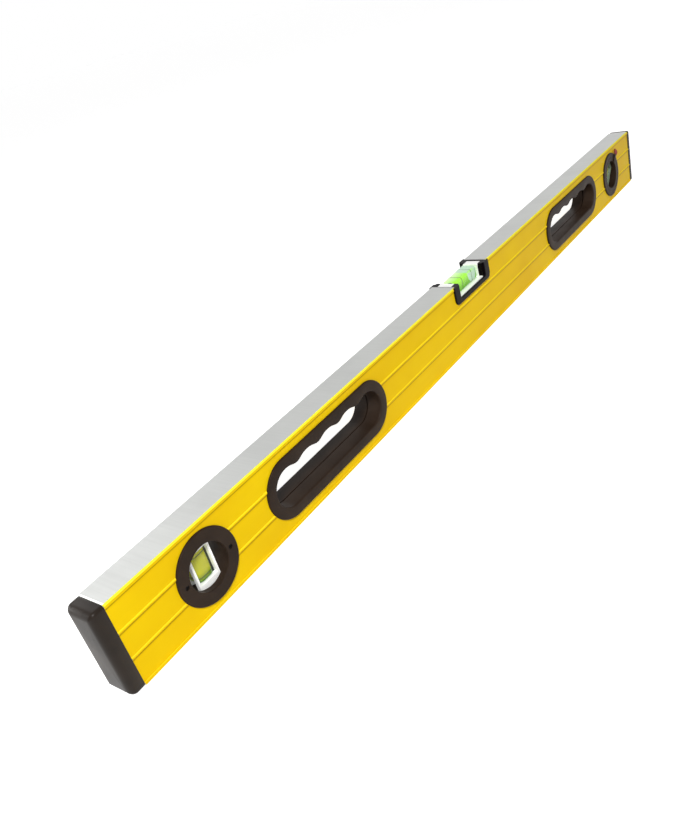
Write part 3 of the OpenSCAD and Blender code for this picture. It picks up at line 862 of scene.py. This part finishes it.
def saddle(bm, length, w, h, r, share):
    """Bubble in a lying vial: a film over the liquid's top and down its sides."""
    outer = round_side(w + 2 * FILM_T, h + 2 * FILM_T, r + FILM_T)
    inner = round_side(w - 2 * FILM_T, h - 2 * FILM_T, r - FILM_T)
    rows = []
    for k in range(1, SADDLE_STEPS):
        turn = math.pi * k / SADDLE_STEPS
        reach = share * math.sin(turn) ** 0.5
        shares = [reach * (1 - 2 * n / SADDLE_STEPS) for n in range(SADDLE_STEPS + 1)]
        line = [outer(f) for f in shares] + [inner(f) for f in reversed(shares)]
        rows.append((line, -math.cos(turn) * length / 2))
    skin(bm, lying(rows), ends="capped")


def gauge_rings(bm, liquid, gap):
    """Two thin bands round the liquid."""
    _, w, h, r = liquid
    for side in (-1, 1):
        rows = []
        for proud, x in (
            (0, -1), (GAUGE_PROUD, -GAUGE_FLAT), (GAUGE_PROUD, GAUGE_FLAT), (0, 1)
        ):
            outline = rounded(w + 2 * proud, h + 2 * proud, r + proud, SIDE_STEPS)
            rows.append((outline, side * gap / 2 + x * GAUGE_W / 2))
        inner = rounded(w - GAUGE_W, h - GAUGE_W, r - GAUGE_W / 2, SIDE_STEPS)
        rows += [(inner, side * gap / 2 + GAUGE_W / 2), (inner, side * gap / 2 - GAUGE_W / 2)]
        skin(bm, lying(rows), ends="joined")


def vial(name, tilt, block, liquid, gauge, bubble, covers, finishes, bodies):
    """Clear block, dyed liquid, gauge rings and bubble of one vial.

    The liquid is its length, width, height and corner radius, the bubble its length and place
    along the vial, and covers the share of the way round the liquid that the bubble takes.
    """
    place = turned_into_place(extent(name + "_block")[2], tilt)
    body, bubble_body = bodies
    length, w, h, r = liquid
    parts = {part: bmesh.new() for part in ("block", "spirit", "rings", "bubble")}
    prism(parts["block"], block[0], box_outline(*block[1:], BLOCK_CORNER), BLOCK_ROUND)
    prism(parts["spirit"], length, box_outline(w, h, r), LIQUID_ROUND)
    gauge_rings(parts["rings"], liquid, gauge)
    if covers < 1:
        saddle(parts["bubble"], bubble[0], w, h, r, covers)
    else:
        sleeve = box_outline(w + 2 * FILM_T, h + 2 * FILM_T, r + FILM_T)
        prism(parts["bubble"], bubble[0], sleeve, LIQUID_ROUND)
    parts["bubble"].transform(Matrix.Translation((bubble[1], 0, 0)))
    for bm in parts.values():
        bm.transform(place)
    piece(name + "_acrylic", parts["block"], ACRYLIC, body, "acrylic", name + "_block")
    piece(name + "_liquid", parts["spirit"], finishes[0], body, "spirit", name + "_spirit")
    piece(name + "_gauge", parts["rings"], RING_ENAMEL, body, "gauge", name + "_rings")
    piece(name + "_gas", parts["bubble"], finishes[1], bubble_body, "bubble", name + "_bubble")
    dress(name + "_plug", PLUG_PE)


for name, sizes in VIALS.items():
    vial(name, **sizes)

def round_carrier(node, material, body):
    """Two thin faces that frame a round vial in front and behind, shaped like the CAD node."""
    low, high, _ = extent(node)
    bm = bmesh.new()
    bm.from_mesh(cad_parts[node].data)
    bm.transform(Matrix.Scale(1 / MM, 4))
    carrier = piece(node + "_moulding", bm, material, body, "carrier", node)
    gap = bmesh.new()
    reach = high.y - CARRIER_FACE_T
    left, right = low.x - CUT_MARGIN, high.x + CUT_MARGIN
    floor, roof = low.z - CUT_MARGIN, high.z + CUT_MARGIN
    block = [(left, floor), (right, floor), (right, roof), (left, roof)]
    skin(gap, standing([(block, -reach), (block, reach)], REAR), ends="capped")
    carve(carrier, gap)
    soften(carrier, CARRIER_EDGE)


round_carrier("plumb_carrier", CARRIER_ABS_PAINTED_GLOW, "level")
round_carrier("angle_carrier", SHADED_CARRIER_ABS, "angle_drum")

# ---- Centre surround and carrier ----

FRAME_R = 5
FRAME_ROUND = 0.9
FRAME_INNER_ROUND = 0.35
WINDOW = (44, 11.6)
WINDOW_CORNER = 1.5
FRAME_BACK = 10.0
LINING_IN = 2.45
POCKET_HALF = 20.15
POCKET_RISE = 1.2
LEDGE_HALF = 26.35
LEDGE_Y = 6.65
FLANGE_T = 1.6
FLANGE_GAP = 0.15
TROUGH_SIDE_STEPS = 6
TROUGH_CORNER_STEPS = 8
TROUGH_FLOOR_STEPS = 24


def trough(w, d, r, top):
    """Open outline of a notch w wide and d deep below top, from its left to its right."""
    x, z = w / 2 - r, top - d + r
    n, m, turns = TROUGH_SIDE_STEPS, TROUGH_FLOOR_STEPS, TROUGH_CORNER_STEPS
    drop = [(-w / 2, top - (d - r) * i / n) for i in range(n)]
    floor = [(-x + 2 * x * i / m, top - d) for i in range(1, m)]
    climb = [(w / 2, z + (d - r) * i / n) for i in range(1, n + 1)]
    left, right = arc(-x, z, r, 180, 270, turns), arc(x, z, r, 270, 360, turns)
    return drop + left + floor + right + climb


def centre_frame(node, side):
    """Half of the surround: a thin U-shaped face, and a lining round the carrier."""
    low, high, _ = extent(node)
    face, seam = depths(node)
    top = high.z
    panel = face - RIM_T
    w, d = high.x - low.x, top - low.z
    lining = trough(w - 2 * LINING_IN, d - LINING_IN, FRAME_R - LINING_IN, top)
    pocket = trough(2 * POCKET_HALF, d - LINING_IN - POCKET_RISE, SMALL_CORNER, top)
    rows = [(trough(w, d, FRAME_R, top), panel)]
    for inset, drop in quarter(FRAME_ROUND, 6):
        rows.append((trough(w - 2 * inset, d - inset, FRAME_R - inset, top), face - drop))
    for i, drop in reversed(quarter(FRAME_INNER_ROUND, 3)):
        window = trough(WINDOW[0] + 2 * i, WINDOW[1] + i, WINDOW_CORNER + i, top)
        rows.append((window, face - drop))
    rows.append((trough(*WINDOW, WINDOW_CORNER, top), FRAME_BACK))
    rows += [(pocket, FRAME_BACK), (pocket, seam), (lining, seam), (lining, panel)]
    bm = bmesh.new()
    skin(bm, standing(rows, side), around=False, ends="joined")
    surround = piece(node + "_moulding", bm, FRAME_ABS, "level", "bezel", node)
    flange_bottom = extent("centre_carrier")[1].z - FLANGE_T - FLANGE_GAP
    above = top + CUT_MARGIN
    ledge = [
        (-LEDGE_HALF, flange_bottom), (LEDGE_HALF, flange_bottom), (LEDGE_HALF, above),
        (-LEDGE_HALF, above),
    ]
    recess = bmesh.new()
    skin(recess, standing([(ledge, seam - CUT_MARGIN), (ledge, LEDGE_Y)], side), ends="capped")
    carve(surround, recess)


centre_frame("centre_frame_front", FRONT)
centre_frame("centre_frame_rear", REAR)
dress("centre_carrier", CARRIER_ABS_PAINTED_GLOW, edge=CENTRE_CARRIER_EDGE)

# ---- Stage ----

FLOOR_SIZE = 40
FLOOR_DROP = 0.2
PAPER_GLOW = 0.8
WORLD_STRENGTH = 0.13


def seen_white(tree):
    """1 for rays from the camera, a mirror or a clear piece, and 0 for light that is cast."""
    path = add(tree, "LightPath").outputs
    seen = add(
        tree, "Math", {0: path["Is Camera Ray"], 1: path["Is Glossy Ray"]}, operation="MAXIMUM"
    )
    return add(tree, "Math", {0: seen, 1: path["Is Transmission Ray"]}, operation="MAXIMUM")


def paper():
    """White paper sweep: matt, and as white as the world to the camera, with its shadows."""
    material, tree, shader = finish(
        "white_paper_sweep", {"Roughness": 0.9, "Base Color": "#eeeeee"}
    )
    glow = add(tree, "Emission", {"Color": "#ffffff", "Strength": PAPER_GLOW})
    lit = add(tree, "AddShader", {0: shader, 1: glow})
    surface = add(tree, "MixShader", {0: seen_white(tree), 1: shader, 2: lit})
    wire(tree.nodes["Material Output"], {"Surface": surface})
    return material


half = FLOOR_SIZE / 2
floor_mesh = bpy.data.meshes.new("studio_floor")
floor_mesh.from_pydata(
    [(-half, -half, 0), (half, -half, 0), (half, half, 0), (-half, half, 0)], [], [(0, 1, 2, 3)]
)
floor_mesh.materials.append(paper())
floor = bpy.data.objects.new("studio_floor", floor_mesh)
floor.location.z = -FLOOR_DROP * MM
scene.collection.objects.link(floor)

world = bpy.data.worlds.new("white_studio")
scene.world = world
world.use_nodes = True
sky = world.node_tree
strength = add(sky, "Mix", {"Factor": seen_white(sky), "A": WORLD_STRENGTH, "B": 1.0})
wire(sky.nodes["Background"], {"Color": "#ffffff", "Strength": strength})


def softbox(name, place, aim, size, power):
    """Round area lamp that faces a point. Places are in metres."""
    lamp = bpy.data.lights.new(name, "AREA")
    lamp.shape = "DISK"
    lamp.size = size
    lamp.energy = power
    obj = bpy.data.objects.new(name, lamp)
    obj.location = place
    obj.rotation_euler = (Vector(aim) - Vector(place)).to_track_quat("-Z", "Y").to_euler()
    scene.collection.objects.link(obj)


LAMPS = {
    "key_softbox": {
        "place": (-0.95, -0.85, 1.4), "aim": (-0.2, 0, 0.03), "size": 0.4, "power": 30,
    },
    "rear_softbox": {
        "place": (0.05, 1.2, 0.9), "aim": (-0.38, 0, 0.05), "size": 0.6, "power": 1.6,
    },
    "low_rear_softbox": {
        "place": (-0.9, 2.0, 0.2), "aim": (0, 0, 0.03), "size": 1.0, "power": 25,
    },
}
for name, settings in LAMPS.items():
    softbox(name, **settings)
